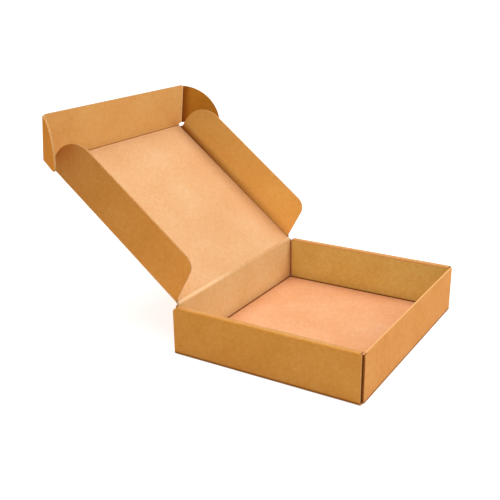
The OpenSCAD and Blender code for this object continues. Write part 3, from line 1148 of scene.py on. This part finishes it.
# A dark band or corner below 0 is painted shade; a pale band above 0 is liner stretched over the
# fold, on the hinge with a painted highlight.
make_crease("hinge_crease", ("tray", "lid"), hinge, X, -HINGE_HALF, HINGE_HALF, Z, -Y, -LID_OPEN,
            (stretched_and_highlit_hinge, band(-0.3)),
            ((TINT_END_WALL_IN, TINT_LID_IN), (TINT_BACK_WALL_OUT, TINT_LID_OUT)), seed=11)
make_crease("front_fold_crease", ("lid", "front_flap"), front_fold, X, -FRONT_CREASE_HALF,
            FRONT_CREASE_HALF, lid_dir, lid_in, FLAP_BENT, (band(-0.7), band(0.4)),
            ((TINT_LID_IN, TINT_FRONT_FLAP[0]), (TINT_LID_OUT, TINT_FRONT_FLAP[1])), seed=12)
for end, side_name in ((-1, "left"), (1, "right")):
    make_crease("side_crease_" + side_name, ("lid", "side_flap_" + side_name),
                hinge + end * SIDE_FOLD_X * X, lid_dir, *SIDE_CREASE_ENDS, end * X, lid_in,
                math.pi / 2, (corner(1.0, 0.0, side_flap_shade), band(0.4)),
                ((TINT_LID_IN, side_flap_tints[0]), (TINT_LID_OUT, side_flap_tints[1])),
                seed=13 + end)
    make_crease("ear_crease_" + side_name, ("front_flap", "lock_ear_" + side_name),
                front_fold + end * LOCK_X * X, flap_dir, EAR_CUT, EAR_R, end * X, flap_in,
                math.pi / 2 - EAR_LEAN, (corner(1.0, 1.2, LOCK_EAR_SHADE), band(0.4)),
                ((TINT_FRONT_FLAP[0], TINT_LOCK_EAR[0]), (TINT_FRONT_FLAP[1], TINT_LOCK_EAR[1])),
                seed=16 + end)

# %% [markdown]
# ## The studio floor
#
# The photograph has a pure white ground. A transparent background would lose the box's shadow, so
# the floor is a real plane, plain and pale. To the camera it is lifted to white, as a studio sweep
# is, but it still takes the shadow, and it lights the box from below as pale paper would.

# %% Studio floor
FLOOR_HALF_M = 6.0
FLOOR_LIFT = 0.69
FLOOR_GREY = (0.8, 0.8, 0.8, 1)
WHITE = (1, 1, 1, 1)


def seen_directly(tree):
    """1 where the camera sees a surface itself, in a mirror or through glass, and 0 elsewhere."""
    path = node(tree, "ShaderNodeLightPath")
    seen = path.outputs["Is Camera Ray"]
    for other in ("Is Glossy Ray", "Is Transmission Ray"):
        seen = maths(tree, "MAXIMUM", seen, path.outputs[other])
    return seen


def studio_floor():
    """Matt pale floor, lifted to white where the camera sees it unshaded."""
    material, tree = new_material("studio_floor")
    matt = node(tree, "ShaderNodeBsdfDiffuse", {"Color": FLOOR_GREY})
    glow = node(tree, "ShaderNodeEmission", {"Color": WHITE, "Strength": FLOOR_LIFT})
    lifted = node(tree, "ShaderNodeAddShader", links={0: matt, 1: glow})
    both = node(tree, "ShaderNodeMixShader", links={0: seen_directly(tree), 1: matt, 2: lifted})
    node(tree, "ShaderNodeOutputMaterial", links={"Surface": both})
    return material


floor_mesh = bpy.data.meshes.new("studio_floor")
floor_corners = rectangle(-FLOOR_HALF_M, -FLOOR_HALF_M, FLOOR_HALF_M, FLOOR_HALF_M)
floor_mesh.from_pydata([(x, y, 0) for x, y in floor_corners], [], [(0, 1, 2, 3)])
floor_mesh.materials.append(studio_floor())
floor_piece = bpy.data.objects.new("studio_floor", floor_mesh)
scene.collection.objects.link(floor_piece)

# %% [markdown]
# ## The light
#
# Boxes like this are often photographed in a light tent. Small lamps would give hard shadows, so
# the world gives even light from all round, and two large lamps shape it: one from the front and
# above makes the panels' tones differ, and one overhead brightens what lies flat. The camera sees
# the world as white.

# %% World and lamps
WORLD_LEVEL = 0.5
world = bpy.data.worlds.new("studio")
scene.world = world
world.use_nodes = True
studio = world.node_tree
studio.nodes.clear()
ambient = node(studio, "ShaderNodeBackground", {"Color": WHITE, "Strength": WORLD_LEVEL})
white = node(studio, "ShaderNodeBackground", {"Color": WHITE, "Strength": 1.0})
sky = node(studio, "ShaderNodeMixShader", links={0: seen_directly(studio), 1: ambient, 2: white})
node(studio, "ShaderNodeOutputWorld", links={"Surface": sky})


def area_lamp(name, position, aim, size, power):
    """A square soft lamp at position, turned towards aim."""
    lamp = bpy.data.lights.new(name, "AREA")
    lamp.size, lamp.energy = size, power
    holder = bpy.data.objects.new(name, lamp)
    holder.location = position
    holder.rotation_euler = (Vector(aim) - Vector(position)).to_track_quat("-Z", "Y").to_euler()
    scene.collection.objects.link(holder)
    print("%s: %.1f m wide, %d W" % (name, size, power))


area_lamp("key_lamp", position=(0.75, -1.75, 1.65), aim=(0, 0.1, 0.1), size=1.4, power=18)
area_lamp("top_lamp", position=(0.0, 0.1, 2.4), aim=(0, 0.1, 0), size=2.2, power=30)

# %% [markdown]
# ## The camera
#
# The camera could be placed by eye, but then every panel would be a little off. Its place was worked
# out from the corners of the tray in the photograph: the direction, the distance and the lens are
# those at which the tray's corners and edges fall where they should.

# %% Camera
AZIMUTH = math.radians(-58.48)
ELEVATION = math.radians(19.71)
ROLL = math.radians(-0.72)
DISTANCE_M = 1.0066
FOCAL_PX = 783.9
PICTURE_PX = 500
SENSOR_MM = 36
CLIP_M = (0.01, 50)
# How far the aim lies from a point over the middle of the tray, in the picture's own directions
AIM = (-0.09134, 0.06574)
AIM_FROM = Vector((0, 0, 0.04))

back = Vector((math.sin(AZIMUTH) * math.cos(ELEVATION), -math.cos(AZIMUTH) * math.cos(ELEVATION),
               math.sin(ELEVATION)))
level_right = (-back).cross(Z).normalized()
level_up = level_right.cross(-back)
right = level_right * math.cos(ROLL) + level_up * math.sin(ROLL)
up = level_up * math.cos(ROLL) - level_right * math.sin(ROLL)
camera = bpy.data.cameras.new("camera")
camera.sensor_width = SENSOR_MM
camera.lens = FOCAL_PX / PICTURE_PX * SENSOR_MM
camera.clip_start, camera.clip_end = CLIP_M
viewer = bpy.data.objects.new("camera", camera)
scene.collection.objects.link(viewer)
position = AIM_FROM + AIM[0] * right + AIM[1] * up + DISTANCE_M * back
turn = Matrix((right, up, back)).transposed().to_4x4()
viewer.matrix_world = Matrix.Translation(position) @ turn
scene.camera = viewer
scene.view_settings.view_transform = "Standard"
print("lens %.1f mm" % camera.lens)
